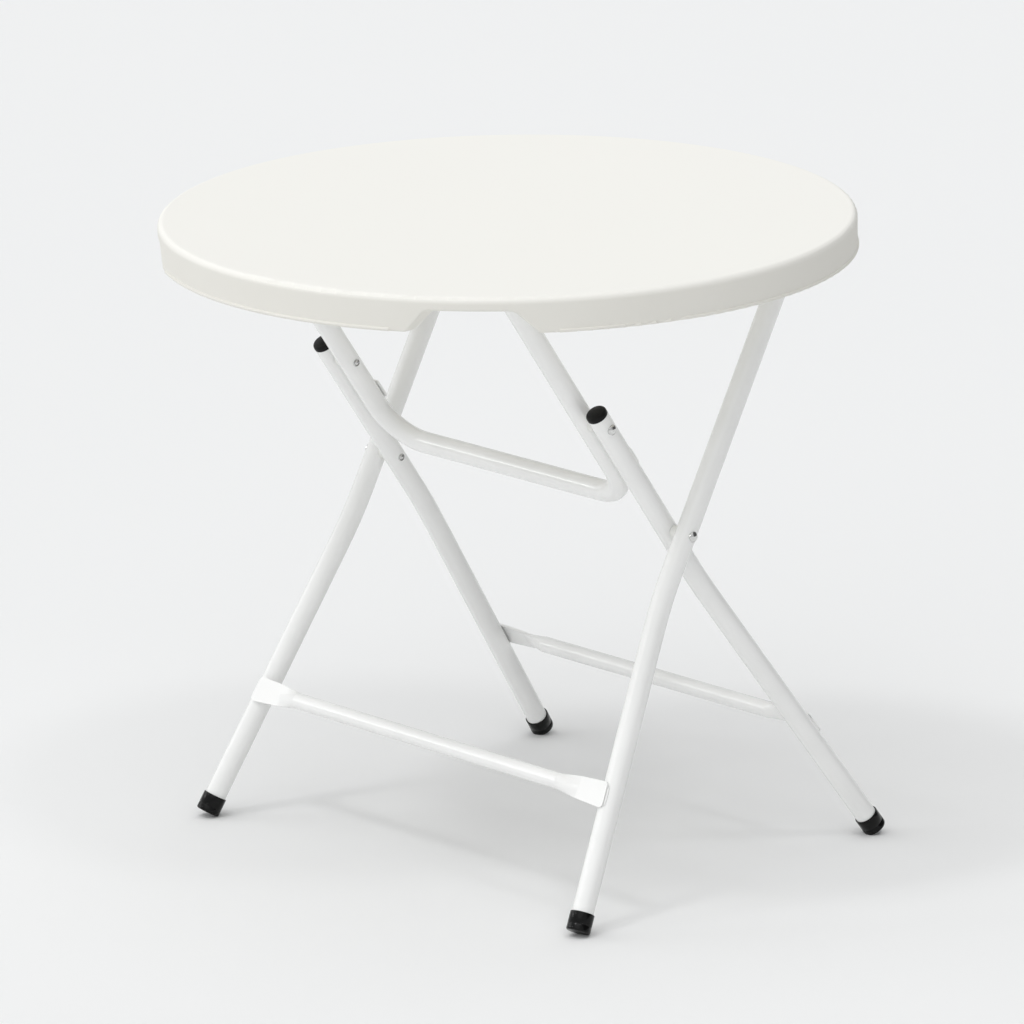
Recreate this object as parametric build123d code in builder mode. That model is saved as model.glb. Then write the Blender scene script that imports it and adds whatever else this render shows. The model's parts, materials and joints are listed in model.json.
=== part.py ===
from build123d import *
import os
from math import asin, cos, degrees, radians, sin, sqrt, tan

os.makedirs("parts", exist_ok=True)

# The table stands on the floor plane with its centre over the origin. X runs along the
# pivots and stretchers, Y from the outer frame's feet to the inner frame's feet, Z up.

# Clearances
fit_gap = 0.05
rest_gap = 0.3
cut_margin = 5

# Table top
top_height = 748
top_radius = 400
skirt_depth = 41
skirt_wall = 12
skirt_draft = 2
deck_thickness = 15.5
top_edge_round = 7
skirt_edge_round = 3
deck_corner_round = 5

# Leg notches in the rim
notch_shift = 3
notch_mouth = 109
notch_roof = 73
notch_roof_round = 8
notch_mouth_round = 6

# Moulded bead along the foot of the skirt, left out at the notches
bead_radius = 2.2
bead_inset = 0.6
bead_rise = 2.4
bead_stop = 10

# Tubes
leg_radius = 12.5
leg_wall = 1.2
leg_gap = 6
leg_spread_share = 0.6575

# Side linkage, measured along the tubes
rear_hinge_y = 193.75
hinge_drop = 36
outer_hinge_to_cross = 344
latch_hinge_to_rivet = 196.5
rivet_to_cross = 167
inner_head = 19
hinge_head = 12.5

# Splayed lower legs
cross_to_bend = 80
leg_bend_radius = 500
outer_splay_angle = 8.35
inner_splay_angle = 7.33

# Foot caps
cap_radius = 14
cap_length = 22
cap_floor = 3
cap_edge = 1.5
foot_trim = 1

# Plugs in the upper ends of the tubes
plug_spigot = 14
plug_head = 3
plug_dome = 5
plug_round = 3.5
hinge_plug_spigot = 2
hinge_plug_head = 2.5
hinge_plug_edge = 1

# Stretchers with pressed ends
stretcher_radius = 9.5
stretcher_wall = 1.2
tongue_root_width = 26
tongue_tip_width = 31
tongue_thickness = 3
tongue_slit = 0.6
tongue_round = 5
tongue_length = 43
tongue_taper = 32
tongue_reach = 3
foot_to_outer_stretcher = 156.9
foot_to_inner_stretcher = 162

# Pivot tubes and their clamps
pivot_radius = 9.5
pivot_wall = 1.2
pivot_stub = 0.5
rear_clamp_inset = 113
front_clamp_inset = 71
clamp_width = 28
clamp_length = 64
clamp_flange = 5
clamp_wall = 4
clamp_round = 4

# Clamp screws
screw_radius = 2
screw_grip = 9
screw_head_radius = 4
screw_head_height = 2.6
screw_head_edge = 1
screw_end_gap = 0.5
screw_inset = 8

# Latch bar and its stop tabs
rivet_to_bar = 123.2
bar_bend_radius = 50
rivet_to_tab = 47
tab_length = 25
tab_thickness = 3
tab_inset = 6
tab_round = 3

# Rivets and the washers between the tubes
rivet_radius = 4
made_head = (6.75, 2.6)
formed_head = (5.25, 2.2)
rivet_rim = 0.8
washer_radius = 8
washer_seat = 4
cross_split = 0.5

sides = {"left": -1, "right": 1}

# Places worked out from the sizes above
skirt_bottom = top_height - skirt_depth
deck_bottom = top_height - deck_thickness
hinge_z = top_height - hinge_drop
leg_pitch = 2 * leg_radius + leg_gap
outer_leg_x = leg_spread_share * top_radius
inner_leg_x = outer_leg_x - leg_pitch
latch_x = inner_leg_x - leg_pitch
notch_centre = outer_leg_x - notch_shift
rear_clamp_x = outer_leg_x - rear_clamp_inset
front_clamp_x = latch_x - front_clamp_inset
cross_reach = latch_hinge_to_rivet + rivet_to_cross
hinge_spacing = outer_hinge_to_cross + latch_hinge_to_rivet - rivet_to_cross


def lean_of(own, other):
    """Lean from the vertical of one side of the triangle that stands on the two hinges."""
    return asin((own**2 + hinge_spacing**2 - other**2) / (2 * own * hinge_spacing))


def down_bar(top, lean, distance):
    """Point in the side plane at a distance down a bar that starts at top."""
    return (top[0] + distance * sin(lean), top[1] - distance * cos(lean))


outer_lean = -lean_of(outer_hinge_to_cross, cross_reach)
inner_lean = lean_of(cross_reach, outer_hinge_to_cross)
rear_hinge = (rear_hinge_y, hinge_z)
front_hinge = (rear_hinge_y - hinge_spacing, hinge_z)
cross_rivet = down_bar(rear_hinge, outer_lean, outer_hinge_to_cross)
latch_rivet = down_bar(front_hinge, inner_lean, latch_hinge_to_rivet)


def finish(piece, name):
    """Name a finished piece and write its file."""
    piece.part.label = name
    export_step(piece.part, f"parts/{name}.step")


def bar_plane(side, x, top, lean):
    """Plane of a tube: its own X points outward and its own Y down the tube."""
    outward = Vector(side, 0, 0)
    down = Vector(0, sin(lean), -cos(lean))
    return Plane(origin=(side * x, *top), x_dir=outward, z_dir=outward.cross(down))


def across(points, radius):
    """Circles in the side plane, to cut across a tube for what passes through it."""
    with BuildSketch(Plane.YZ) as circles:
        with Locations(*points):
            Circle(radius)
    return circles.sketch


class Leg:
    """Centre line of a leg that is straight, then splays outward below its bend."""

    def __init__(self, side, x, top, lean, head, bend, splay):
        self.plane = bar_plane(side, x, top, lean)
        self.head = head
        self.bend = bend
        self.lean = lean
        self.splay = radians(splay)
        self.bend_point = down_bar(top, lean, bend)
        rise = cos(lean) * cos(self.splay)
        lift = (cap_radius - cap_edge) * sqrt(1 - rise**2) - foot_trim
        self.run = (self.bend_point[1] - lift) / rise

    def local(self, run):
        """Point at a run below the bend, in the leg's own plane."""
        return (run * sin(self.splay), self.bend + run * cos(self.splay))

    def foot_plane(self):
        """Plane of the foot cap's underside, facing up the leg."""
        foot = self.plane.from_local_coords((*self.local(self.run), 0))
        up = foot - self.plane.from_local_coords((*self.local(self.run + cap_floor), 0))
        return Plane(origin=foot, z_dir=up)


def leg_tube(leg):
    """Bent tube of a leg, open at both ends."""
    ends = [(0, -leg.head), (0, leg.bend), leg.local(leg.run - cap_floor)]
    with BuildPart() as tube:
        with BuildLine(leg.plane) as path:
            FilletPolyline(*ends, radius=leg_bend_radius)
        with BuildSketch(Plane(origin=path.line @ 0, z_dir=path.line % 0)):
            Circle(leg_radius)
            Circle(leg_radius - leg_wall, mode=Mode.SUBTRACT)
        sweep(path=path.line)
    return tube


def foot_cap(leg):
    """Cap pushed over the foot of a leg, worn flat where it meets the floor."""
    base = leg.foot_plane()
    with BuildPart() as cap:
        with BuildSketch(base):
            Circle(cap_radius)
        extrude(amount=cap_length)
        chamfer(cap.faces().sort_by(Axis(base.origin, base.z_dir))[0].edges(), cap_edge)
        with BuildSketch(base.offset(cap_floor)):
            Circle(leg_radius + fit_gap)
        extrude(amount=cap_length, mode=Mode.SUBTRACT)
        split(bisect_by=Plane.XY, keep=Keep.TOP)
    return cap


def domed_plug(plane):
    """Plug with a domed head on the upper end of an inner leg."""
    spigot_radius = leg_radius - leg_wall - fit_gap
    rim = inner_head + plug_head
    with BuildPart() as plug:
        with BuildSketch(plane):
            with BuildLine():
                Polyline(
                    (0, -rim - plug_dome),
                    (0, plug_spigot - inner_head),
                    (spigot_radius, plug_spigot - inner_head),
                    (spigot_radius, -inner_head),
                    (leg_radius, -inner_head),
                    (leg_radius, -rim),
                )
                CenterArc((leg_radius - plug_round, -rim), plug_round, 0, -90)
                TangentArc((0, -rim - plug_dome), (leg_radius - plug_round, -rim - plug_round), tangent=(1, 0))
            make_face()
        revolve(axis=Axis(plane.origin, plane.y_dir))
    return plug


def hinge_plug(plane):
    """Flat plug on the end of a tube that turns close under the deck."""
    upward = plane.y_dir * -1
    mouth = Plane(origin=plane.origin + upward * hinge_head, z_dir=upward)
    with BuildPart() as plug:
        with BuildSketch(mouth):
            Circle(leg_radius)
        extrude(amount=hinge_plug_head)
        chamfer(plug.faces().sort_by(Axis(mouth.origin, mouth.z_dir))[-1].edges(), hinge_plug_edge)
        with BuildSketch(mouth):
            Circle(leg_radius - leg_wall - fit_gap)
        extrude(amount=-hinge_plug_spigot)
    return plug


def rivet_head(side, point, seat, facing, radius, dome):
    """Domed head on its seat, facing outward (1) or inward (-1)."""
    way = side * facing
    plane = Plane(origin=(side * seat, *point), x_dir=(way, 0, 0), z_dir=(0, -way, 0))
    with BuildPart() as head:
        with BuildSketch(plane):
            with BuildLine():
                Polyline((rivet_rim + dome, 0), (0, 0), (0, radius), (rivet_rim, radius))
                TangentArc((rivet_rim + dome, 0), (rivet_rim, radius), tangent=(0, 1))
            make_face()
        revolve(axis=Axis(plane.origin, plane.x_dir))
    return head.part


def rivet(side, point, outer_end, inner_end, outer_head=None, inner_head=None):
    """Rivet along X, with a domed head of a given radius and height on either end."""
    with BuildPart() as body:
        with BuildSketch(Plane(origin=(side * inner_end, *point), z_dir=(side, 0, 0))):
            Circle(rivet_radius)
        extrude(amount=outer_end - inner_end)
        if outer_head:
            add(rivet_head(side, point, outer_end, 1, *outer_head))
        if inner_head:
            add(rivet_head(side, point, inner_end, -1, *inner_head))
    return body


def washer(side, point, x, lean, face):
    """Saddle washer on the tube at x: hollowed to fit it and flat towards its neighbour."""
    tube_plane = bar_plane(side, x, point, lean)
    reach = face - x
    flat = Plane(origin=(side * x, *point), z_dir=(side, 0, 0))
    with BuildPart() as ring:
        with BuildSketch(flat.offset(reach)):
            Circle(washer_radius)
            Circle(rivet_radius + fit_gap, mode=Mode.SUBTRACT)
        extrude(amount=-reach / abs(reach) * (leg_gap + washer_seat))
        with BuildSketch(Plane(origin=tube_plane.origin, z_dir=tube_plane.y_dir)):
            Circle(leg_radius)
        extrude(amount=washer_radius + cut_margin, both=True, mode=Mode.SUBTRACT)
    return ring


def round_section(plane, radius):
    """Circle drawn as four quarter arcs, from one diagonal to the next."""
    corner = radius * sqrt(0.5)
    with BuildSketch(plane) as section:
        with BuildLine():
            ThreePointArc((-corner, corner), (0, radius), (corner, corner))
            ThreePointArc((corner, corner), (radius, 0), (corner, -corner))
            ThreePointArc((corner, -corner), (0, -radius), (-corner, -corner))
            ThreePointArc((-corner, -corner), (-radius, 0), (-corner, corner))
        make_face()
    return section.sketch


def flat_section(plane, width, thickness):
    """Rectangle with its corners in the same order as the quarter arcs of the circle."""
    half = (width / 2, thickness / 2)
    with BuildSketch(plane) as section:
        with BuildLine():
            Polyline(
                (-half[0], half[1]),
                (half[0], half[1]),
                (half[0], -half[1]),
                (-half[0], -half[1]),
                close=True,
            )
        make_face()
    return section.sketch


def tongue(middle, side, root, tip, splay, widths, thickness, corner):
    """Flat length of a pressed end, flaring to a tip that is cut along the leg."""
    slant = widths[1] / 2 * tan(splay)
    with BuildSketch(Plane(origin=middle.origin, x_dir=middle.z_dir, z_dir=middle.y_dir)) as outline:
        with BuildLine():
            FilletPolyline(
                (side * root, -widths[0] / 2),
                (side * (tip - slant), -widths[1] / 2),
                (side * (tip + slant), widths[1] / 2),
                (side * root, widths[0] / 2),
                radius=(0, corner, corner, 0),
                close=True,
            )
        make_face()
    return extrude(outline.sketch, amount=thickness / 2, both=True, mode=Mode.PRIVATE)


def pressed_tube(middle, tip, splay, radius, widths, thickness, corner):
    """Lengths of a bar along X: round in the middle, pressed to flat tongues at both ends."""
    root = tip - tongue_length
    shoulder = root - tongue_taper
    lengths = [extrude(round_section(middle, radius), amount=shoulder, both=True, mode=Mode.PRIVATE)]
    for side in sides.values():
        round_end = round_section(middle.offset(side * shoulder), radius)
        flat_start = flat_section(middle.offset(side * root), widths[0], thickness)
        lengths.append(loft([round_end, flat_start], mode=Mode.PRIVATE))
        lengths.append(tongue(middle, side, root, tip, splay, widths, thickness, corner))
    return lengths


def stretcher(leg, x, facing, rise):
    """Cross tube whose tongues lap over both legs of a frame, at a rise up the legs."""
    run = leg.run - rise
    level = down_bar(leg.bend_point, leg.lean, run * cos(leg.splay))
    seat = leg_radius + tongue_thickness / 2
    point = (level[0] + facing * seat * cos(leg.lean), level[1] + facing * seat * sin(leg.lean))
    down = Vector(0, sin(leg.lean), -cos(leg.lean))
    middle = Plane(origin=(0, *point), x_dir=down, z_dir=(1, 0, 0))
    tip = x + run * sin(leg.splay) + tongue_reach
    bore = stretcher_radius - stretcher_wall
    widths = (tongue_root_width, tongue_tip_width)
    slits = [width - 2 * stretcher_wall for width in widths]
    with BuildPart() as bar:
        add(pressed_tube(middle, tip, leg.splay, stretcher_radius, widths, tongue_thickness, tongue_round))
        for length in pressed_tube(middle, tip, leg.splay, bore, slits, tongue_slit, 0):
            add(length, mode=Mode.SUBTRACT)
    return bar


def pivot_tube(hinge, x):
    """Tube along X through the heads of two legs."""
    with BuildPart() as tube:
        with BuildSketch(Plane.YZ):
            with Locations(hinge):
                Circle(pivot_radius)
                Circle(pivot_radius - pivot_wall, mode=Mode.SUBTRACT)
        extrude(amount=x + leg_radius + pivot_stub, both=True)
    return tube


def screw_places(hinge, x):
    """Places of the two screws of a clamp, seen from above."""
    reach = clamp_length / 2 - screw_inset
    return [(x, hinge[0] - reach), (x, hinge[0] + reach)]


def clamp(hinge, x):
    """Pillow clamp that holds a pivot tube under the deck."""
    boss = pivot_radius + fit_gap + clamp_wall
    with BuildPart() as block:
        with BuildSketch(Plane.YZ.offset(x)) as profile:
            with Locations((hinge[0], deck_bottom)):
                Rectangle(clamp_length, clamp_flange, align=(Align.CENTER, Align.MAX))
            with Locations(hinge):
                Circle(boss)
                Rectangle(2 * boss, deck_bottom - hinge[1], align=(Align.CENTER, Align.MIN))
            root = profile.vertices().filter_by_position(
                Axis.Y,
                deck_bottom - clamp_flange - fit_gap,
                deck_bottom - clamp_flange + fit_gap,
            )
            fillet(root.sort_by(Axis.X)[1:-1], clamp_round)
            with Locations(hinge):
                Circle(pivot_radius + fit_gap, mode=Mode.SUBTRACT)
        extrude(amount=clamp_width / 2, both=True)
        with BuildSketch(Plane.XY.offset(deck_bottom)):
            with Locations(*screw_places(hinge, x)):
                Circle(screw_radius + fit_gap)
        extrude(amount=-clamp_flange - cut_margin, mode=Mode.SUBTRACT)
    return block


def clamp_screw(place):
    """Pan-head screw from below through the clamp's flange into the deck."""
    seat = deck_bottom - clamp_flange
    with BuildPart() as body:
        with BuildSketch(Plane(origin=(*place, seat), x_dir=(1, 0, 0), z_dir=(0, -1, 0))):
            with BuildLine():
                Polyline(
                    (0, -screw_head_height),
                    (0, clamp_flange + screw_grip),
                    (screw_radius, clamp_flange + screw_grip),
                    (screw_radius, 0),
                    (screw_head_radius, 0),
                    (screw_head_radius, -screw_head_height + screw_head_edge),
                    (screw_head_radius - screw_head_edge, -screw_head_height),
                    close=True,
                )
            make_face()
        revolve(axis=Axis((*place, seat), (0, 0, 1)))
    return body


clamp_places = {
    f"{row}_clamp_{name}": (hinge, side * x)
    for row, hinge, x in (("rear", rear_hinge, rear_clamp_x), ("front", front_hinge, front_clamp_x))
    for name, side in sides.items()
}

# Table top: deck and double-walled skirt in one moulding
with BuildPart() as tabletop:
    with BuildSketch(Plane.XZ):
        with BuildLine():
            FilletPolyline(
                (0, top_height),
                (top_radius, top_height),
                (top_radius, skirt_bottom),
                (top_radius - skirt_wall, skirt_bottom),
                (top_radius - skirt_wall - skirt_draft, deck_bottom),
                (0, deck_bottom),
                radius=(0, top_edge_round, 0, skirt_edge_round, deck_corner_round, 0),
                close=True,
            )
        make_face()
    revolve(axis=Axis.Z)

    # Leg notches, open downward
    with BuildSketch(Plane.XZ.offset(top_radius + cut_margin)):
        for side in sides.values():
            centre = side * notch_centre
            flare = notch_mouth / 2 + notch_mouth_round
            with BuildLine():
                FilletPolyline(
                    (centre - flare, skirt_bottom - cut_margin),
                    (centre - flare, skirt_bottom),
                    (centre - notch_mouth / 2, skirt_bottom),
                    (centre - notch_roof / 2, deck_bottom),
                    (centre + notch_roof / 2, deck_bottom),
                    (centre + notch_mouth / 2, skirt_bottom),
                    (centre + flare, skirt_bottom),
                    (centre + flare, skirt_bottom - cut_margin),
                    radius=(
                        0,
                        0,
                        notch_mouth_round,
                        notch_roof_round,
                        notch_roof_round,
                        notch_mouth_round,
                        0,
                        0,
                    ),
                    close=True,
                )
            make_face()
    extrude(amount=-top_radius - cut_margin, mode=Mode.SUBTRACT)
    rim = tabletop.edges().filter_by(
        lambda edge: abs(sqrt((edge @ 0.5).X ** 2 + (edge @ 0.5).Y ** 2) - top_radius) < fit_gap
        and (edge @ 0.5).Z < deck_bottom + fit_gap
    )
    fillet(rim, skirt_edge_round)

    # Bead along the foot of the skirt
    flare = notch_mouth / 2 + notch_mouth_round + bead_stop
    outer_end = degrees(asin((notch_centre + flare) / top_radius))
    inner_end = degrees(asin((notch_centre - flare) / top_radius))
    for start, arc in ((-90 - inner_end, 2 * inner_end), (-90 + outer_end, 360 - 2 * outer_end)):
        with BuildSketch(Plane.XZ.rotated((0, 0, start))):
            with Locations((top_radius - bead_inset, skirt_bottom + bead_rise)):
                Circle(bead_radius)
        revolve(axis=Axis.Z, revolution_arc=arc)

    # Pilot holes for the clamp screws
    with BuildSketch(Plane.XY.offset(deck_bottom)):
        for hinge, x in clamp_places.values():
            with Locations(*screw_places(hinge, x)):
                Circle(screw_radius + fit_gap)
    extrude(amount=screw_grip + screw_end_gap, mode=Mode.SUBTRACT)
finish(tabletop, "tabletop")

# Clamps and their screws
for name, (hinge, x) in clamp_places.items():
    finish(clamp(hinge, x), name)
    for number, place in enumerate(screw_places(hinge, x), start=1):
        finish(clamp_screw(place), f"{name}_screw_{number}")

# Outer frame
outer_bend = outer_hinge_to_cross + cross_to_bend
for name, side in sides.items():
    leg = Leg(side, outer_leg_x, rear_hinge, outer_lean, hinge_head, outer_bend, outer_splay_angle)
    with BuildPart() as outer_leg:
        add(leg_tube(leg))
        extrude(
            across([rear_hinge], pivot_radius + fit_gap),
            amount=2 * outer_leg_x,
            both=True,
            mode=Mode.SUBTRACT,
        )
        extrude(
            across([cross_rivet], rivet_radius + fit_gap),
            amount=2 * outer_leg_x,
            both=True,
            mode=Mode.SUBTRACT,
        )
    finish(outer_leg, f"outer_leg_{name}")
    finish(foot_cap(leg), f"outer_foot_cap_{name}")
    finish(hinge_plug(leg.plane), f"outer_leg_plug_{name}")
    inner_face = outer_leg_x - leg_radius - leg_gap + cross_split
    cross = rivet(side, cross_rivet, outer_leg_x + leg_radius, inner_face, outer_head=made_head)
    finish(cross, f"cross_rivet_{name}")
    spacer = washer(side, cross_rivet, outer_leg_x, outer_lean, inner_face)
    finish(spacer, f"cross_washer_{name}")
finish(stretcher(leg, outer_leg_x, -1, foot_to_outer_stretcher), "outer_stretcher")
finish(pivot_tube(rear_hinge, outer_leg_x), "rear_pivot_tube")

# Inner frame
inner_bend = rivet_to_cross + cross_to_bend
for name, side in sides.items():
    leg = Leg(side, inner_leg_x, latch_rivet, inner_lean, inner_head, inner_bend, inner_splay_angle)
    with BuildPart() as inner_leg:
        add(leg_tube(leg))
        extrude(
            across([cross_rivet, latch_rivet], rivet_radius + fit_gap),
            amount=2 * outer_leg_x,
            both=True,
            mode=Mode.SUBTRACT,
        )
    finish(inner_leg, f"inner_leg_{name}")
    finish(foot_cap(leg), f"inner_foot_cap_{name}")
    finish(domed_plug(leg.plane), f"inner_leg_plug_{name}")
    tail = rivet(
        side,
        cross_rivet,
        inner_leg_x + leg_radius,
        inner_leg_x - leg_radius,
        inner_head=formed_head,
    )
    finish(tail, f"cross_rivet_tail_{name}")
    upper = rivet(
        side,
        latch_rivet,
        inner_leg_x + leg_radius,
        latch_x - leg_radius - rest_gap,
        made_head,
        formed_head,
    )
    finish(upper, f"latch_rivet_{name}")
finish(stretcher(leg, inner_leg_x, 1, foot_to_inner_stretcher), "inner_stretcher")

# Latch bar
bar_run = latch_hinge_to_rivet + rivet_to_bar
with BuildPart() as latch_bar:
    with BuildLine(bar_plane(1, 0, front_hinge, inner_lean)) as path:
        FilletPolyline(
            (-latch_x, -hinge_head),
            (-latch_x, bar_run),
            (latch_x, bar_run),
            (latch_x, -hinge_head),
            radius=bar_bend_radius,
        )
    with BuildSketch(Plane(origin=path.line @ 0, z_dir=path.line % 0)):
        Circle(leg_radius)
        Circle(leg_radius - leg_wall, mode=Mode.SUBTRACT)
    sweep(path=path.line)
    extrude(
        across([front_hinge], pivot_radius + fit_gap),
        amount=2 * latch_x,
        both=True,
        mode=Mode.SUBTRACT,
    )
    extrude(
        across([latch_rivet], rivet_radius + fit_gap),
        amount=2 * latch_x,
        both=True,
        mode=Mode.SUBTRACT,
    )
finish(latch_bar, "latch_bar")
finish(pivot_tube(front_hinge, latch_x), "front_pivot_tube")

for name, side in sides.items():
    arm = bar_plane(side, latch_x, front_hinge, inner_lean)
    finish(hinge_plug(arm), f"latch_bar_plug_{name}")
    outer_face = inner_leg_x - leg_radius - rest_gap
    spacer = washer(side, latch_rivet, latch_x, inner_lean, outer_face)
    finish(spacer, f"latch_washer_{name}")

    # Stop tab on the upper side of the arm, reaching over the inner leg
    with BuildPart() as stop_tab:
        with BuildSketch(arm.offset(side * (leg_radius + rest_gap))) as outline:
            with Locations((-tab_inset, latch_hinge_to_rivet + rivet_to_tab)):
                Rectangle(leg_pitch + tab_inset, tab_length, align=(Align.MIN, Align.MIN))
            fillet(outline.vertices(), tab_round)
        extrude(amount=side * tab_thickness)
    finish(stop_tab, f"stop_tab_{name}")

print("lean of the outer legs", round(degrees(outer_lean), 3))
print("lean of the inner legs", round(degrees(inner_lean), 3))
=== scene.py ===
# %% [markdown]
# A round folding garden table: a moulded plastic top on two crossed frames of white steel
# tube. Its measured solids are packed in the frame, so every tube and rivet already stands
# in its place, in metres. This lesson dresses them: it models what a measured solid leaves
# out, wires a finish for each material, and sets up the studio. Whatever else the file
# opens with is cleared away first.

# %% Load the measured table
import json
import math

import bmesh
import bpy
from mathutils import Matrix, Vector

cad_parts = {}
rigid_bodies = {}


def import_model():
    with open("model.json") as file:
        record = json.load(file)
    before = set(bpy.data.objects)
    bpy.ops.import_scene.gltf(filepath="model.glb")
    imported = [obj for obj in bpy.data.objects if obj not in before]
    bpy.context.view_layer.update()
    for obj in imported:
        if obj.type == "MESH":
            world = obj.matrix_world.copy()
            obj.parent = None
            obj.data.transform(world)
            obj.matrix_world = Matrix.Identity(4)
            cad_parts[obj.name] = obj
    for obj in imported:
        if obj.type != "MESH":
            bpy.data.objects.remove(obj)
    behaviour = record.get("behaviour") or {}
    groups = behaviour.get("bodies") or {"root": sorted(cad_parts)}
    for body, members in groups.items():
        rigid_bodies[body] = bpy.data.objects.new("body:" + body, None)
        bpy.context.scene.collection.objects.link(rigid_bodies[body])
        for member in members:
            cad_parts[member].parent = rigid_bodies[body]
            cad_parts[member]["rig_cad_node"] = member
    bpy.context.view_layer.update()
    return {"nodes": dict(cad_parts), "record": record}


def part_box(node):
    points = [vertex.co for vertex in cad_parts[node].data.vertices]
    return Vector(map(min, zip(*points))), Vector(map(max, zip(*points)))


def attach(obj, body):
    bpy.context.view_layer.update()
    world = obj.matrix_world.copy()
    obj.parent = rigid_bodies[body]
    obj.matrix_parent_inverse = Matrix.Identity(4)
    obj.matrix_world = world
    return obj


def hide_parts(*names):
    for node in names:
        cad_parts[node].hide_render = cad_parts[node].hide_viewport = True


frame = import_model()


def packed(thing):
    """Whether an object came with the frame, as a measured solid or the empty of a body."""
    return "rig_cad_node" in thing or thing.name.startswith("body:")


for leftover in [thing for thing in bpy.data.objects if not packed(thing)]:
    bpy.data.objects.remove(leftover)

# %% [markdown]
# The sizes below are the ones that the solids were drawn with. The legs are repeated here
# as centre lines, because a cap or a weld has to point along its own tube.

# %% Sizes
MM = 0.001
TOP_HEIGHT, DECK_THICKNESS = 748 * MM, 15.5 * MM
DECK_BOTTOM = TOP_HEIGHT - DECK_THICKNESS
CAP_RADIUS, CAP_EDGE, FOOT_TRIM = 14 * MM, 1.5 * MM, 1 * MM
SIDES = {"left": -1, "right": 1}


class Leg:
    """Centre line of one leg, straight to its bend and splayed outward below it."""

    def __init__(self, side, x, top, lean, bend, splay):
        lean, splay = math.radians(lean), math.radians(splay)
        self.outward = Vector((side, 0, 0))
        self.down = Vector((0, math.sin(lean), -math.cos(lean)))
        self.top = Vector((side * x, *top))
        self.bend = self.top + self.down * bend
        self.lower = self.outward * math.sin(splay) + self.down * math.cos(splay)
        tilt = math.sqrt(1 - self.lower.z**2)
        lift = (CAP_RADIUS - CAP_EDGE) * tilt - FOOT_TRIM
        self.foot = self.bend + self.lower * ((self.bend.z - lift) / -self.lower.z)


OUTER = dict(x=263 * MM, top=(193.75 * MM, 712 * MM), lean=-29.287, bend=424 * MM, splay=8.35)
INNER = dict(x=232 * MM, top=(-68.813 * MM, 549.811 * MM), lean=34.372, bend=247 * MM, splay=7.33)
LATCH = dict(x=201 * MM, top=(-179.75 * MM, 712 * MM), lean=34.372, bend=424 * MM, splay=0)
legs = {
    f"{row}_{name}": Leg(side, **line)
    for row, line in (("outer", OUTER), ("inner", INNER), ("latch", LATCH))
    for name, side in SIDES.items()
}
for name in ("outer_right", "inner_right"):
    print(name, "foot at", [round(v, 4) for v in legs[name].foot])

# %% [markdown]
# Every piece starts as a primitive or as a copy of its measured solid, and is shaped with
# the tools of edit mode. These short helpers do what a hand does between two tools:
# deselect, move what is selected, apply a modifier, and set the finished mesh down in its
# place. Each piece ends with its placement applied, so its mesh says where it is.

# %% Hands
SMOOTH_ANGLE = math.radians(35)


def only(piece):
    """Make one object the only selected and the active one."""
    bpy.ops.object.select_all(action="DESELECT")
    piece.select_set(True)
    bpy.context.view_layer.objects.active = piece
    return piece


def begin(piece, name):
    """Name a fresh primitive and open it for editing with nothing selected."""
    piece.name = name
    only(piece)
    bpy.ops.object.mode_set(mode="EDIT")
    bpy.ops.mesh.select_all(action="DESELECT")
    return piece


def slide(x=0, y=0, z=0):
    """Move what is selected."""
    bpy.ops.transform.translate(value=(x, y, z))


def modifier(piece, kind, **settings):
    """Add a modifier to the piece and apply it."""
    only(piece)
    made = piece.modifiers.new(kind.title(), kind)
    for key, value in settings.items():
        setattr(made, key, value)
    bpy.ops.object.modifier_apply(modifier=made.name)


def end(piece, angle=SMOOTH_ANGLE, place=None):
    """Leave edit mode, set the piece in its place and shade it smooth up to an angle."""
    if bpy.context.mode != "OBJECT":
        bpy.ops.object.mode_set(mode="OBJECT")
    only(piece)
    if place is not None:
        piece.matrix_world = place
    bpy.ops.object.transform_apply(location=True, rotation=True, scale=True)
    bpy.ops.object.shade_smooth_by_angle(angle=angle)
    return piece


def copy_of(piece, name, place):
    """A copy with its own mesh, set in its place."""
    twin = piece.copy()
    twin.data = piece.data.copy()
    twin.name = name
    bpy.context.scene.collection.objects.link(twin)
    only(twin)
    twin.matrix_world = place
    bpy.ops.object.transform_apply(location=True, rotation=True, scale=True)
    return twin


def along(origin, direction, towards=(1, 0, 0)):
    """Placement whose own Z runs along a direction."""
    z = Vector(direction).normalized()
    x = Vector(towards)
    x = (x - z * x.dot(z)).normalized()
    place = Matrix((x, z.cross(x), z)).transposed().to_4x4()
    place.translation = origin
    return place


def dress(piece, body, slot_name, *nodes):
    """Say what the piece rides on, which finish it has and which solids it stands for."""
    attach(piece, body)
    if nodes:
        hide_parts(*nodes)
    piece.data.materials.clear()
    piece.data.materials.append(finishes[slot_name].material)


# %% [markdown]
# Shader maths reads best as plain arithmetic, so a small class wraps a socket and turns
# each operator into a Math node. Any other node comes from one method of the finish.

# %% Wires
class Wire:
    """An output socket that takes part in arithmetic."""

    def __init__(self, finish, socket):
        self.finish = finish
        self.socket = socket

    def math(self, operation, *values):
        """Math node on the values, in the order of its sockets."""
        return self.finish.make("ShaderNodeMath", {"operation": operation}, dict(enumerate(values)))

    def __add__(self, other):
        return self.math("ADD", self, other)

    def __sub__(self, other):
        return self.math("SUBTRACT", self, other)

    def __rsub__(self, other):
        return self.math("SUBTRACT", other, self)

    def __mul__(self, other):
        return self.math("MULTIPLY", self, other)

    __radd__ = __add__
    __rmul__ = __mul__


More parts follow.
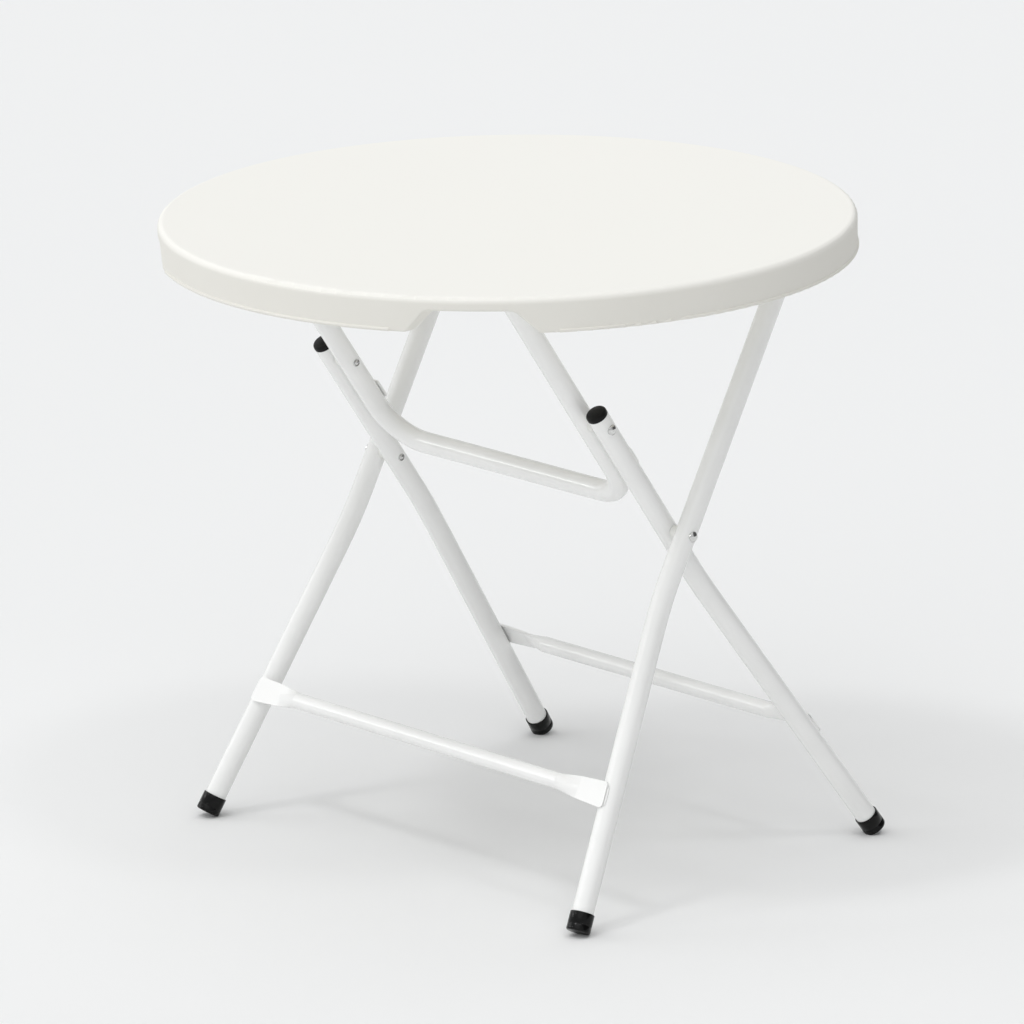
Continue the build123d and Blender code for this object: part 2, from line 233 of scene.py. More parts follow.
class Finish:
    """A material whose nodes are made one call at a time."""

    def __init__(self, name, **fixed):
        self.material = bpy.data.materials.new(name)
        self.material.use_nodes = True
        self.tree = self.material.node_tree
        self.surface = self.tree.nodes["Principled BSDF"]
        self.point = self.make("ShaderNodeTexCoord", out="Object")
        for socket, value in fixed.items():
            self.set(socket.replace("_", " "), value)

    def make(self, kind, settings=None, sockets=None, out=0):
        """New node with its settings and sockets filled in, as a wire from one output."""
        node = self.tree.nodes.new(kind)
        for key, value in (settings or {}).items():
            setattr(node, key, value)
        for key, value in (sockets or {}).items():
            self.join(value, node.inputs[key])
        return Wire(self, node.outputs[out])

    def join(self, value, target):
        """Link a wire to a socket, or give the socket a value of its own."""
        if isinstance(value, Wire):
            self.tree.links.new(value.socket, target)
        else:
            target.default_value = value

    def set(self, socket, value):
        """Fill one socket of the surface."""
        self.join(value, self.surface.inputs[socket])

    def noise(self, scale, detail=2):
        """Soft random field in 0 to 1, with so many features to the metre."""
        sockets = {"Vector": self.point, "Scale": scale, "Detail": detail}
        return self.make("ShaderNodeTexNoise", sockets=sockets, out="Fac")

    def height(self):
        """Height above the floor, in metres."""
        return self.make("ShaderNodeSeparateXYZ", sockets={"Vector": self.point}, out="Z")

    def ramp(self, value, low, high, first=0.0, last=1.0):
        """Value mapped from low..high to first..last, and held there beyond."""
        sockets = {
            "Value": value, "From Min": low, "From Max": high, "To Min": first, "To Max": last}
        return self.make("ShaderNodeMapRange", {"clamp": True}, sockets)

    def blend(self, share, first, second):
        """Colour between two colours, the first of which may be a wire."""
        # a Mix node has its colours at inputs 6 and 7 and mixes them into output 2
        sockets = {0: share, 6: (*first, 1) if isinstance(first, tuple) else first, 7: (*second, 1)}
        return self.make("ShaderNodeMix", {"data_type": "RGBA"}, sockets, out=2)

    def relief(self, field, depth, strength=1.0):
        """Bump the surface by a field that is so deep, in metres."""
        sockets = {"Height": field, "Distance": depth, "Strength": strength}
        self.set("Normal", self.make("ShaderNodeBump", sockets=sockets, out="Normal"))


# %% [markdown]
# The top is blow-moulded polyethylene. The mould's blasted steel leaves a fine satin grain,
# and the wall cools a little unevenly, so the white is never quite flat. The skirt is given
# a deeper, warmer white than the deck. This is painted shade, standing in for the lesser
# light on its sides. One finish can do both, because the height above the floor tells the
# skirt from the deck.

# %% Moulded plastic of the top
DECK_WHITE = (0.93, 0.918, 0.87)
# painted shade: the skirt's two whites are the deck's white darkened and warmed
SKIRT_SHADE_PAINTED_WHITES = (0.8, 0.785, 0.731), (0.815, 0.8, 0.748)

finishes = {}
top_plastic = Finish("top_plastic", Specular_IOR_Level=0.3)
cloud = top_plastic.noise(7, detail=3)
grain = top_plastic.noise(1100)
# 1 on the deck and 0 on the skirt, which gets the painted shade, varied at random by the cloud
deck_clear_of_painted_shade = top_plastic.ramp(top_plastic.height(), TOP_HEIGHT - 8 * MM, TOP_HEIGHT - 1 * MM)
skirt_painted_shade = top_plastic.blend(top_plastic.ramp(cloud, 0.35, 0.65), *SKIRT_SHADE_PAINTED_WHITES)
top_plastic.set("Base Color", top_plastic.blend(deck_clear_of_painted_shade, skirt_painted_shade, DECK_WHITE))
top_plastic.set("Roughness", 0.56 + 0.1 * cloud + 0.06 * grain)
top_plastic.relief(grain + 0.35 * top_plastic.noise(340, detail=1), 0.00006, 0.5)
finishes["top_plastic"] = top_plastic

# %% [markdown]
# Powder coat is a baked polymer film. It flows out with a faint orange peel about three
# millimetres from crest to crest, and stays glossy enough to draw a lamp as a thin streak.
# The peel is far too fine to model, so it is a bump, and the same field makes the gloss
# vary with it.

# %% Powder coat of the frames
white_frame = Finish("white_frame", Specular_IOR_Level=0.6)
peel = white_frame.noise(330, detail=1)
drift = white_frame.noise(16)
white_frame.set("Base Color", white_frame.blend(
    white_frame.ramp(drift, 0.3, 0.7), (0.905, 0.908, 0.895), (0.93, 0.931, 0.92)))
white_frame.set("Roughness", 0.13 + 0.06 * drift + 0.05 * peel)
white_frame.relief(peel, 0.00006, 0.6)
finishes["white_frame"] = white_frame

# %% [markdown]
# The caps and plugs are black polyethylene, moulded smooth and rubbed unevenly satin by
# handling. The caps also grey a little where they meet the floor, so their finish asks for
# the height above it.

# %% Black mouldings
foot_caps = Finish("foot_caps", Specular_IOR_Level=0.2)
pores = foot_caps.noise(1600)
rub = foot_caps.noise(90, detail=4)
soles = foot_caps.ramp(foot_caps.height(), 0, 6 * MM, 1, 0)
foot_caps.set("Base Color", foot_caps.blend(
    soles * foot_caps.ramp(rub, 0.4, 0.7), (0.003, 0.003, 0.003), (0.03, 0.029, 0.027)))
foot_caps.set("Roughness", 0.12 + 0.14 * rub + 0.25 * soles)
foot_caps.relief(pores, 0.00004, 0.5)
finishes["foot_caps"] = foot_caps

end_plugs = Finish("end_plugs", Specular_IOR_Level=0.2)
pores = end_plugs.noise(1600)
rub = end_plugs.noise(110, detail=4)
end_plugs.set("Base Color", end_plugs.blend(
    end_plugs.ramp(rub, 0.3, 0.8), (0.003, 0.003, 0.003), (0.008, 0.008, 0.007)))
end_plugs.set("Roughness", 0.36 + 0.16 * rub)
end_plugs.relief(pores, 0.00004, 0.5)
finishes["end_plugs"] = end_plugs

# %% [markdown]
# Rivets and screws are zinc-plated steel. Tumbling in the plating barrel leaves fine dents,
# so the metal is bright without being a mirror. Rivets and screws differ only in tint and
# gloss, so one loop wires both.

# %% Plated steel
for slot_name, tint, gloss in (
    ("steel_rivets", (0.74, 0.74, 0.73), 0.1),
    ("zinc_screws", (0.66, 0.68, 0.7), 0.24),
):
    steel = Finish(slot_name, Metallic=1.0)
    dents = steel.noise(900, detail=3)
    bloom = steel.noise(260)
    dull = tuple(0.8 * v for v in tint)
    steel.set("Base Color", steel.blend(steel.ramp(bloom, 0.3, 0.7), dull, tint))
    steel.set("Roughness", gloss + 0.12 * bloom)
    steel.relief(dents, 0.00003, 0.3)
    finishes[slot_name] = steel

# %% [markdown]
# The washers between the tubes are nylon and the clamps under the deck polypropylene. Both
# are white and dull, and a little uneven where the melt flowed round a core, so the same
# nodes do for both, with another tint and gloss.

# %% Small plastics
for slot_name, tint, specular, gloss in (
    ("washers", (0.84, 0.84, 0.81), 0.4, 0.42),
    ("clamp_plastic", (0.84, 0.84, 0.82), 0.5, 0.38),
):
    plastic = Finish(slot_name, Specular_IOR_Level=specular)
    flow = plastic.noise(120, detail=3)
    shade = tuple(0.97 * v for v in tint)
    plastic.set("Base Color", plastic.blend(plastic.ramp(flow, 0.3, 0.7), shade, tint))
    plastic.set("Roughness", gloss + 0.12 * flow)
    plastic.relief(plastic.noise(1200), 0.00005, 0.4)
    finishes[slot_name] = plastic
print("finishes:", sorted(finishes))

# %% [markdown]
# The photograph is taken with a long lens from ten metres off, a little above the top. A
# long lens hardly narrows with distance, which is why the far legs look as thick as the
# near ones. Place, turn and lens were found by matching the rim, the feet and the rivets.

# %% Camera
bpy.ops.object.camera_add(
    location=(7.1263, -6.49246, 3.07791),
    rotation=[math.radians(v) for v in (74.4346, 0.9394, 47.4061)],
)
camera = bpy.context.object
camera.data.lens = 304.925
camera.data.sensor_width = 36
camera.data.clip_end = 100
bpy.context.scene.camera = camera
print("camera:", round(camera.location.length, 2), "m away, lens", round(camera.data.lens), "mm")

# %% [markdown]
# The table stands in a white tent that shines evenly from all round, with a roof panel, two
# fainter boxes and four narrow strips. Area lamps would fade over the floor. Suns with a
# wide disc don't, so the background stays even and the floor keeps the soft pool of shadow
# under the top, and the narrow ones draw the streaks on the tubes and their thin shadows.

# %% Floor, lamps and room
bpy.ops.mesh.primitive_plane_add(size=60, location=(0, 0, 0))
floor = bpy.context.object
floor.name = "studio_floor"
paper = Finish("studio_paper", Roughness=0.9, Specular_IOR_Level=0.1)
paper.set("Base Color", paper.blend(paper.noise(0.7), (0.876, 0.88, 0.88), (0.89, 0.892, 0.89)))
floor.data.materials.append(paper.material)


def soft_sun(name, azimuth, elevation, width, strength):
    """Sun that shines from an azimuth and an elevation, with a disc so many degrees wide."""
    azimuth, elevation = math.radians(azimuth), math.radians(elevation)
    source = Vector((math.cos(azimuth), math.sin(azimuth), math.tan(elevation)))
    bpy.ops.object.light_add(type="SUN", location=3 * source)
    sun = bpy.context.object
    sun.name = name
    sun.data.energy = strength
    sun.data.angle = math.radians(width)
    sun.rotation_euler = source.to_track_quat("Z", "Y").to_euler()


# name, azimuth, elevation and width in degrees, strength
LAMPS = [
    ("tent_roof", 285, 84, 64, 0.5),
    ("front_box", 300, 45, 50, 0.32),
    ("left_box", 205, 24, 30, 0.25),
    ("bar_strip", 222, 17, 5, 0.09),
    ("leg_strip", 242, 34, 5, 0.08),
    ("high_strip", 255, 65, 9, 0.27),
    ("right_strip", 0, 65, 9, 0.16),
]
for lamp in LAMPS:
    soft_sun(*lamp)
print("lamps:", [lamp[0] for lamp in LAMPS])

# %% [markdown]
# The tent is open on the right, and the hall behind the opening is dark. Shiny rivets need
# such a dark place to look like metal: they show it in their upper halves. The opening is
# a cone round one direction, and the camera itself sees the same pale grey everywhere.

# %% Room
TO_OPENING = (0.643, 0.69, 0.333)
OPENING_EDGE = (("From Min", 0.74), ("From Max", 0.83), ("To Min", 0.67), ("To Max", 0.1))

room = bpy.data.worlds.new("studio_room")
bpy.context.scene.world = room
room.use_nodes = True
nodes, links = room.node_tree.nodes, room.node_tree.links
nodes.clear()
path = nodes.new("ShaderNodeLightPath")
shown = nodes.new("ShaderNodeBackground")
shown.inputs["Color"].default_value = (0.87, 0.872, 0.872, 1)
direction = nodes.new("ShaderNodeTexCoord")
towards = nodes.new("ShaderNodeVectorMath")
towards.operation = "DOT_PRODUCT"
towards.inputs[1].default_value = TO_OPENING
opening = nodes.new("ShaderNodeMapRange")
for socket, value in OPENING_EDGE:
    opening.inputs[socket].default_value = value
lighting = nodes.new("ShaderNodeBackground")
lighting.inputs["Color"].default_value = (0.98, 0.99, 1.0, 1)
both = nodes.new("ShaderNodeMixShader")
out = nodes.new("ShaderNodeOutputWorld")
links.new(direction.outputs["Generated"], towards.inputs[0])
links.new(towards.outputs["Value"], opening.inputs["Value"])
links.new(opening.outputs[0], lighting.inputs["Strength"])
links.new(path.outputs["Is Camera Ray"], both.inputs[0])
links.new(lighting.outputs[0], both.inputs[1])
links.new(shown.outputs[0], both.inputs[2])
links.new(both.outputs[0], out.inputs["Surface"])
bpy.context.scene.view_settings.view_transform = "Standard"
print("room:", len(nodes), "nodes, opening towards", TO_OPENING)

# %% [markdown]
# Solids that already have the right shape keep their measured mesh and only get a finish:
# the legs, the latch bar, the stretchers, the pivot tubes and the washers. The pieces
# modelled below stand in for all the others.

# %% Finish on every solid
slots = {part["node"]: part["material_slot"] for part in frame["record"]["subparts"]}
for node, solid in frame["nodes"].items():
    solid.data.materials.clear()
    solid.data.materials.append(finishes[slots[node]].material)
print("solids with a finish:", len(slots), "in", sorted(set(slots.values())))

# %% [markdown]
# Caps, plugs, rivets and screws are all round, so they are turned like work on a lathe: a
# plane is merged to one point, the point is extruded along the half outline, and the
# outline is spun about Z. Cylinders with bevels would do too, but an outline holds lips
# and domes as well, and its arcs give the small roundings that catch a lamp. All outlines
# are in millimetres.

# %% Lathe
def arc(centre, radius, first, last, steps=6):
    """Points of an arc in the half outline, between two angles in degrees."""
    turns = [math.radians(first + (last - first) * i / steps) for i in range(steps + 1)]
    return [(centre[0] + radius * math.cos(t), centre[1] + radius * math.sin(t)) for t in turns]


def line(name, points):
    """Chain of edges: one point, extruded from each of the points to the next."""
    bpy.ops.mesh.primitive_plane_add(size=MM)
    piece = begin(bpy.context.object, name)
    bpy.ops.mesh.select_mode(type="VERT")
    bpy.ops.mesh.select_all(action="SELECT")
    bpy.ops.mesh.merge(type="CENTER")
    bpy.ops.mesh.select_all(action="SELECT")
    slide(*(v * MM for v in points[0]))
    for here, there in zip(points, points[1:]):
        step = tuple((b - a) * MM for a, b in zip(here, there))
        bpy.ops.mesh.extrude_vertices_move(TRANSFORM_OT_translate={"value": step})
    bpy.ops.mesh.select_all(action="SELECT")
    return piece


def turned(name, outline, steps=48):
    """Round body from a half outline of (radius, height) points."""
    piece = line(name, [(radius, 0, height) for radius, height in outline])
    bpy.ops.mesh.spin(steps=steps, angle=2 * math.pi, center=(0, 0, 0), axis=(0, 0, 1))
    bpy.ops.mesh.select_all(action="SELECT")
    bpy.ops.mesh.remove_doubles(threshold=1e-6)
    bpy.ops.mesh.normals_make_consistent(inside=False)
    return piece


def each(piece, places):
    """Set the piece in the first place and own copies of it in the others."""
    bpy.ops.object.mode_set(mode="OBJECT")
    names = list(places)
    twins = {name: copy_of(piece, name, places[name]) for name in names[1:]}
    piece.name = names[0]
    twins[names[0]] = end(piece, place=places[names[0]])
    for twin in twins.values():
        only(twin)
        bpy.ops.object.shade_smooth_by_angle(angle=SMOOTH_ANGLE)
    print(len(twins), "of", names[0], "with", len(piece.data.polygons), "faces each")
    return twins


# %% [markdown]
# A foot cap is a cup of black plastic pushed over the tube. Its mouth has a thin lip and
# its sole a soft corner. The floor has worn the low side flat, because the leg leans, so
# each finished cap is bisected by the floor's plane and the cut is filled.

# %% Foot caps
cup = turned("foot_cup", [
    (0, 0), *arc((12.1, 1.9), 1.9, -90, 0),
    (14, 7.2), (13.8, 7.5), (13.8, 8.1), (14, 8.4),
    *arc((13.4, 21.4), 0.6, 0, 90, 4), *arc((12.9, 21.7), 0.3, 90, 180, 3),
    (12.56, 3.2), (0, 3.2),
])
foot_places = {
    f"{row}_foot_cap_{name}_cup": along(legs[f"{row}_{name}"].foot, -legs[f"{row}_{name}"].lower)
    for row in ("outer", "inner") for name in SIDES
}
for name, cap in each(cup, foot_places).items():
    only(cap)
    bpy.ops.object.mode_set(mode="EDIT")
    bpy.ops.mesh.select_all(action="SELECT")
    bpy.ops.mesh.bisect(plane_co=(0, 0, 0), plane_no=(0, 0, 1), use_fill=True, clear_inner=True)
    bpy.ops.object.mode_set(mode="OBJECT")
    dress(cap, name.split("_")[0] + "_frame", "foot_caps", name.removesuffix("_cup"))

# %% [markdown]
# The upper ends of the inner legs reach out past their rivets and carry domed plugs. The
# tubes at the hinges end just under the deck, so their plugs are thin and flat. Both kinds
# are turned, with a stem that stands in the tube and a rounded edge over the tube's wall.

# %% Plugs
# how far the tubes reach past their rivet or hinge
RIVET_REACH, HINGE_REACH = 19, 12.5


def plug_places(row, stem, reach):
    """Placements in the upper ends of two tubes, with Z out of the tube."""
    return {
        f"{stem}_plug_{name}_knob": along(
            legs[f"{row}_{name}"].top - legs[f"{row}_{name}"].down * reach * MM,
            -legs[f"{row}_{name}"].down)
        for name in SIDES
    }


dome = [(9 * (1 - i / 8), 6.5 + 1.5 * (1 - (1 - i / 8) ** 2)) for i in range(1, 9)]
knob = turned("knob", [
    (0, -4), (11.2, -4), (11.2, 0), (12.2, 0), (12.5, 0.3),
    *arc((9, 3), 3.5, 0, 90, 8), *dome,
])
for name, plug in each(knob, plug_places("inner", "inner_leg", RIVET_REACH)).items():
    dress(plug, "inner_frame", "end_plugs", name.removesuffix("_knob"))

flat_knob = turned("flat_knob", [
    (0, -2), (11.2, -2), (11.2, 0), (12.2, 0), (12.5, 0.3),
    *arc((11.4, 1.4), 1.1, 0, 90, 5), (0, 2.5),
])
flat_places = {
    **plug_places("outer", "outer_leg", HINGE_REACH),
    **plug_places("latch", "latch_bar", HINGE_REACH),
}
for name, plug in each(flat_knob, flat_places).items():
    dress(plug, name.split("_")[0] + "_frame", "end_plugs", name.removesuffix("_knob"))

# %% [markdown]
# Each rivet has a factory head, a low dome on a narrow rim, and a tail that the press
# rolls into a smaller ring with a button in it. The groove between them shows as a dark
# ring. Both ends are seated a little inside the tube's round wall, because the press
# flattens the tube under them. The crossing rivets are in two halves, since the legs they
# join are on different bodies.

# %% Rivets
# radius of the shank, depth of the seat and top of the head's rim
SHANK, SEAT, RIM = 4, 1.9, 0.8


def head_outline(radius, height):
    """Half outline of a domed head on a rim, from its edge to the middle."""
    ball = (radius**2 + height**2) / (2 * height)
    spread = math.degrees(math.asin(radius / ball))
    middle = (0, RIM + height - ball)
    return [(radius, -SEAT), (radius, 0.5), *arc(middle, ball, 90 - spread, 90, 9)]


def tail_outline(radius, height):
    """Half outline of a formed head: a rolled ring, a groove and a low button in it."""
    ring = [(0, -SEAT), (0, 0.3), (-0.3, 0.7), (-0.7, 0.7), (-0.95, 0.3), (-1.05, -1.1)]
    button = [
        (r, 0.3 + (height - 0.9) * (1 - (r / 2.9) ** 2)) for r in (2.9, 2.4, 1.8, 1.2, 0.6)
    ]
    return [*((radius + r, z) for r, z in ring), (3, -1.1), *button, (0, height - 0.6)]


def rivet_places(x, point, facing):
    """Placements on both sides of the table, with Z along the rivet."""
    return {
        name: along(Vector((side * x * MM, *point)), (side * facing, 0, 0), (0, 0, 1))
        for name, side in SIDES.items()
    }


# where the rivets stand, seen from the side
CROSS, PIVOT = (25.47 * MM, 411.97 * MM), INNER["top"]
# radius and height of factory and formed heads
MADE, FORMED = (6.1, 2.9), (4.6, 2.2)
# node, body, distance from the middle plane, where it stands, 1 outward or -1 inward,
# outline of the head and length of the stem below it
RIVETS = [
    ("cross_rivet", "outer_frame", 275.5, CROSS, 1, head_outline(*MADE), 30.5),
    ("cross_rivet_tail", "inner_frame", 219.5, CROSS, -1, tail_outline(*FORMED), 25),
    ("latch_rivet", "inner_frame", 244.5, PIVOT, 1, head_outline(*MADE), 56.3),
]
for node, body, x, point, facing, outline, length in RIVETS:
    stem = [(0, -length), (SHANK, -length), (SHANK, -SEAT)]
    if node == "latch_rivet":
        far = [(r, -length - z) for r, z in reversed(tail_outline(*FORMED))]
        stem[:1] = [*far[:-2], (FORMED[0], -length)]
    rivet = turned(node, stem + outline, 40)
    places = rivet_places(x, point, facing)
    places = {f"{node}_{name}_turned": place for name, place in places.items()}
    for name, piece in each(rivet, places).items():
        dress(piece, body, "steel_rivets", name.removesuffix("_turned"))

# %% [markdown]
# The clamps are held by pan-head screws from below. A head is turned, then a cross recess
# is cut with two tapered blades, and each screw is left at its own angle, as a hand leaves
# it.

# %% Screws
def pick_faces(piece, test):
    """Select the faces whose centre and normal pass the test."""
    bpy.ops.mesh.select_mode(type="FACE")
    bpy.ops.mesh.select_all(action="DESELECT")
    mesh = bmesh.from_edit_mesh(piece.data)
    for face in mesh.faces:
        face.select_set(bool(test(face.calc_center_median(), face.normal)))
    bmesh.update_edit_mesh(piece.data)


screw = turned("pan_screw", [
    (0, -2.6), (2.6, -2.6), *arc((2.9, -1.5), 1.1, -90, 0),
    (4, -0.2), (3.8, 0), (2, 0), (2, 14), (0, 14),
], 32)
bpy.ops.object.mode_set(mode="OBJECT")
# size of each blade, and how much its inner end narrows
BLADES = [((1, 4.6, 2.6), (0.6, 0.5, 1)), ((4.6, 1, 2.6), (0.5, 0.6, 1))]
for size, taper in BLADES:
    bpy.ops.mesh.primitive_cube_add(size=MM)
    blade = begin(bpy.context.object, "blade")
    bpy.ops.mesh.select_all(action="SELECT")
    bpy.ops.transform.resize(value=size)
    slide(z=-size[2] * MM)
    pick_faces(blade, lambda centre, normal: normal.z > 0.9)
    bpy.ops.transform.resize(value=taper)
    bpy.ops.object.mode_set(mode="OBJECT")
    modifier(screw, "BOOLEAN", operation="DIFFERENCE", object=blade, solver="EXACT")
    bpy.data.objects.remove(blade)

CLAMPS = [f"{row}_clamp_{name}" for row in ("rear", "front") for name in SIDES]
# thickness of a clamp's flange, and the turn in radians from one screw to the next
FLANGE, TURN = 5, 1.7


def middle_of(node):
    """Middle of the box of a measured solid."""
    low, high = (Vector(corner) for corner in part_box(node))
    return (low + high) / 2


screw_nodes = [f"{clamp}_screw_{number}" for clamp in CLAMPS for number in (1, 2)]
screw_places = {}
for number, node in enumerate(screw_nodes):
    seat = middle_of(node)
    seat.z = DECK_BOTTOM - FLANGE * MM
    slot_way = (math.cos(TURN * number), math.sin(TURN * number), 0)
    screw_places[f"{node}_turned"] = along(seat, (0, 0, 1), slot_way)
for name, piece in each(screw, screw_places).items():
    dress(piece, "top", "zinc_screws", name.removesuffix("_turned"))

# %% [markdown]
# A clamp is an injection-moulded pillow block: a flange, a round boss for the pivot tube
# and thin gussets that stiffen the corner between them. It has the same section along its
# width, so its end face is drawn as a line of points, filled and extruded to the width.
# Gussets are joined on, and a bevel rounds the edges as a mould does.

# %% Clamp bodies
def profile(name, outline, width, x=0):
    """Solid extruded along X from a closed outline of (y, z) points, centred on x."""
    piece = line(name, [(x - width / 2, y, z) for y, z in outline])
    bpy.ops.mesh.edge_face_add()
    bpy.ops.mesh.extrude_region_move(TRANSFORM_OT_translate={"value": (width * MM, 0, 0)})
    bpy.ops.mesh.select_all(action="SELECT")
    bpy.ops.mesh.normals_make_consistent(inside=False)
    bpy.ops.object.mode_set(mode="OBJECT")
    return piece


# radius of the boss, height of its axis, half length of the flange and width of the clamp
BOSS, AXIS, HALF_FLANGE, WIDTH = 13.55, -20.5, 32, 28
FILLET, GUSSET_X = 4, 12.9
GUSSET = [(11, -4.5), (29, -4.5), (29, -5.6), (13.3, -19), (11, -19)]

clamp = profile("pillow_clamp", [
    (-HALF_FLANGE, 0), (HALF_FLANGE, 0), (HALF_FLANGE, -FLANGE),
    *arc((BOSS + FILLET, -FLANGE - FILLET), FILLET, 90, 180),
    *arc((0, AXIS), BOSS, 0, -180, 24),
    *arc((-BOSS - FILLET, -FLANGE - FILLET), FILLET, 0, 90),
    (-HALF_FLANGE, -FLANGE),
], WIDTH)
for side in SIDES.values():
    for x in (-GUSSET_X, GUSSET_X):
        gusset = profile("gusset", [(side * y, z) for y, z in GUSSET], 2, x)
        modifier(clamp, "BOOLEAN", operation="UNION", object=gusset, solver="EXACT")
        bpy.data.objects.remove(gusset)
modifier(
    clamp, "BEVEL", width=0.5 * MM, segments=2,
    limit_method="ANGLE", angle_limit=math.radians(40))

# %% [markdown]
# A clamp has one bore for the pivot tube and two for the screws. They are cut with plain
# cylinders, after the bevel, so that their edges stay crisp and their fit exact.

# %% Clamp bores
# middle, radius, length and turn about Y
BORES = [
    ((0, 0, AXIS), 9.55, 40, math.pi / 2),
    ((0, -24, 0), 2.05, 20, 0),
    ((0, 24, 0), 2.05, 20, 0),
]
for place, radius, length, turn in BORES:
    bpy.ops.mesh.primitive_cylinder_add(
        vertices=64, radius=radius * MM, depth=length * MM,
        location=[v * MM for v in place], rotation=(0, turn, 0))
    bore = bpy.context.object
    modifier(clamp, "BOOLEAN", operation="DIFFERENCE", object=bore, solver="EXACT")
    bpy.data.objects.remove(bore)
clamp_places = {}
for node in CLAMPS:
    place = middle_of(node)
    place.z = DECK_BOTTOM
    clamp_places[f"{node}_moulded"] = Matrix.Translation(place)
for name, piece in each(clamp, clamp_places).items():
    dress(piece, "top", "clamp_plastic", name.removesuffix("_moulded"))

# %% [markdown]
# A blow-moulded top is hollow, and its two skins are welded together in rows of small
# pockets, which show from below. The rim and its notches are right already, so the
# measured top is copied and its loose triangles are merged. One pocket is turned, repeated
# over the deck and cut out. Weighted normals keep the large flat faces flat up to their
# rounded edges.

# %% Top with its pockets
def merged(node, name, dissolve=None):
    """Copy of a measured solid, merged and, if told, with its flat faces made whole."""
    piece = only(copy_of(frame["nodes"][node], name, Matrix.Identity(4)))
    bpy.ops.object.mode_set(mode="EDIT")
    bpy.ops.mesh.select_all(action="SELECT")
    bpy.ops.mesh.remove_doubles(threshold=1e-6)
    if dissolve is not None:
        bpy.ops.mesh.select_all(action="SELECT")
        bpy.ops.mesh.dissolve_limited(angle_limit=dissolve)
    bpy.ops.object.mode_set(mode="OBJECT")
    bpy.ops.mesh.customdata_custom_splitnormals_clear()
    return piece


moulded_top = merged("tabletop", "tabletop_moulded")
pocket = turned("pocket", [
    (0, 6.8), (3.2, 6.8), *arc((3.2, 5.8), 1, 90, 15, 3),
    (5.3, 1.3), (5.9, 0.4), (6.8, 0), (6.8, -1), (0, -1),
], 20)
bpy.ops.object.mode_set(mode="OBJECT")

# pitch along a row, its share from row to row, and radius of the field of pockets
PITCH, ROW_STEP, FIELD = 56 * MM, 0.866, 352 * MM
# room left round each clamp, and the rows and columns to try
CLEAR_X, CLEAR_Y, TRIES = 26 * MM, 44 * MM, range(-7, 8)


def clear_of_clamps(spot):
    """Whether a pocket at the spot misses every clamp."""
    return all(
        abs(spot.x - middle.x) > CLEAR_X or abs(spot.y - middle.y) > CLEAR_Y
        for middle in map(middle_of, CLAMPS))


spots = []
for row in TRIES:
    for column in TRIES:
        across, deep = (column + 0.5 * (row % 2)) * PITCH, row * PITCH * ROW_STEP
        spot = Vector((across, deep, DECK_BOTTOM))
        if spot.xy.length < FIELD and clear_of_clamps(spot):
            spots.append(spot)
pockets = [copy_of(pocket, "pocket_copy", Matrix.Translation(spot)) for spot in spots]
bpy.data.objects.remove(pocket)
only(pockets[0])
for twin in pockets:
    twin.select_set(True)
bpy.ops.object.join()
modifier(moulded_top, "BOOLEAN", operation="DIFFERENCE", object=pockets[0], solver="EXACT")
bpy.data.objects.remove(pockets[0])
end(moulded_top, angle=math.radians(32))
modifier(moulded_top, "WEIGHTED_NORMAL", keep_sharp=True, weight=50)
dress(moulded_top, "top", "top_plastic", "tabletop")
print("pockets:", len(spots), "faces:", len(moulded_top.data.polygons))

# %% [markdown]
# The stop tabs are cut from three-millimetre plate. A copy of the measured tab is merged,
# its flat faces are made whole again, and a bevel breaks the sheared edges. Whole faces
# let the bevel run clean from corner to corner.

# %% Stop tabs
for name in SIDES:
    tab = merged(f"stop_tab_{name}", f"stop_tab_{name}_edged", dissolve=math.radians(1))
    modifier(
        tab, "BEVEL", width=0.6 * MM, segments=3,
        limit_method="ANGLE", angle_limit=math.radians(50))
    end(tab)
    dress(tab, "latch_frame", "white_frame", f"stop_tab_{name}")
    print(tab.name, "with", len(tab.data.polygons), "faces")

# %% [markdown]
# The stretchers' tongues are welded along their cut ends. A welder's bead is a row of
# overlapping drops, so its half outline is a long arc with a small ripple, and turning it
# gives the bead in one step. It lies half sunk between the tongue and its leg.

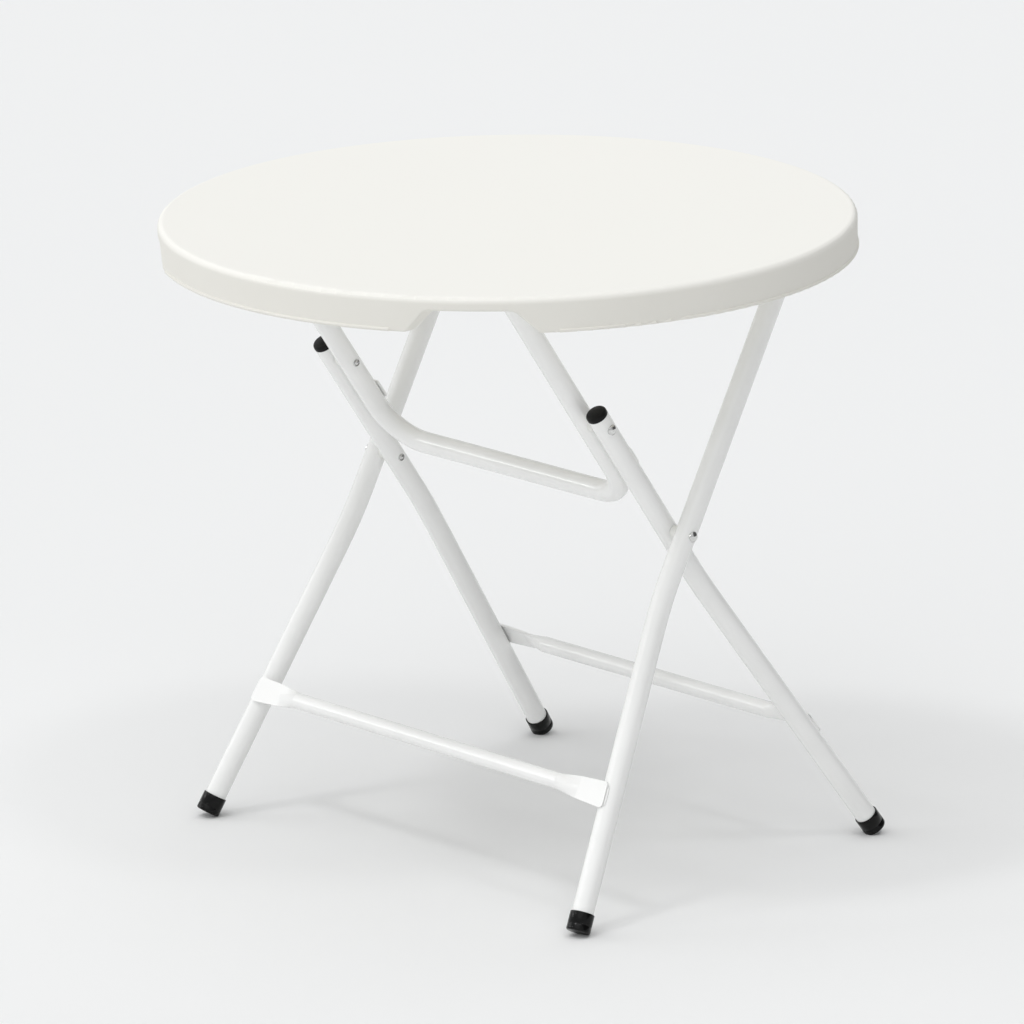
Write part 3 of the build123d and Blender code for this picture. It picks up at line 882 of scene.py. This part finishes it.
# %% Welds along the tongues
# half length and radius of the bead, its points, and depth and length of its ripple
HALF, BEAD, POINTS, RIPPLE, DROP = 11.5, 1.35, 40, 0.12, 1.9
bead_line = [(0, -HALF)]
for i in range(1, POINTS):
    z = -HALF + 2 * HALF * i / POINTS
    radius = BEAD * (1 - (z / HALF) ** 4) ** 0.5
    bead_line.append((radius + RIPPLE * math.cos(2 * math.pi * z / DROP), z))
seam = turned("seam", [*bead_line, (0, HALF)], 16)

# frame, side of the leg that its stretcher lies on, and height up the leg from its foot
STRETCHERS = [("outer", -1, 156.9), ("inner", 1, 162)]
# how far a bead lies from the leg's centre line, outward and towards the tongue
OUTWARD, TO_TONGUE = 3.8, 12.4
seam_places = {}
for row, facing, rise in STRETCHERS:
    for name, side in SIDES.items():
        leg = legs[f"{row}_{name}"]
        face = facing * Vector((0, -leg.down.z, leg.down.y))
        point = leg.foot - leg.lower * rise * MM + Vector((side * OUTWARD * MM, 0, 0))
        point += face * TO_TONGUE * MM
        seam_places[f"{row}_stretcher_weld_{name}"] = along(point, leg.lower)
for name, piece in each(seam, seam_places).items():
    dress(piece, name.split("_")[0] + "_frame", "white_frame")

# %% [markdown]
# The pivot tubes pass through the heads of their legs and are welded all round. That seam
# is a ring that follows the leg's round wall. A flat ring would hang in the air on two
# sides, so the points of a torus are moved to the leg as far as the wall falls away.

# %% Welds round the pivot tubes
TUBE_RADIUS, PIVOT_RADIUS = 12.5 * MM, 9.5 * MM
for row in ("outer", "latch"):
    for name in SIDES:
        leg = legs[f"{row}_{name}"]
        bpy.ops.mesh.primitive_torus_add(
            major_radius=PIVOT_RADIUS + 0.5 * MM, minor_radius=1.4 * MM,
            major_segments=72, minor_segments=12, rotation=(0, math.pi / 2, 0))
        ring = bpy.context.object
        bpy.ops.object.transform_apply(location=True, rotation=True, scale=True)
        sideways = Vector((0, -leg.down.z, leg.down.y))
        for vertex in ring.data.vertices:
            offset = min(abs(vertex.co.dot(sideways)), 0.99 * TUBE_RADIUS)
            fall = TUBE_RADIUS - math.sqrt(TUBE_RADIUS**2 - offset**2)
            vertex.co += leg.outward * (fall - TUBE_RADIUS) + leg.top
        ring.name = f"{row}_pivot_weld_{name}"
        end(ring)
        dress(ring, row + "_frame", "white_frame")
        print(ring.name, "with", len(ring.data.polygons), "faces")
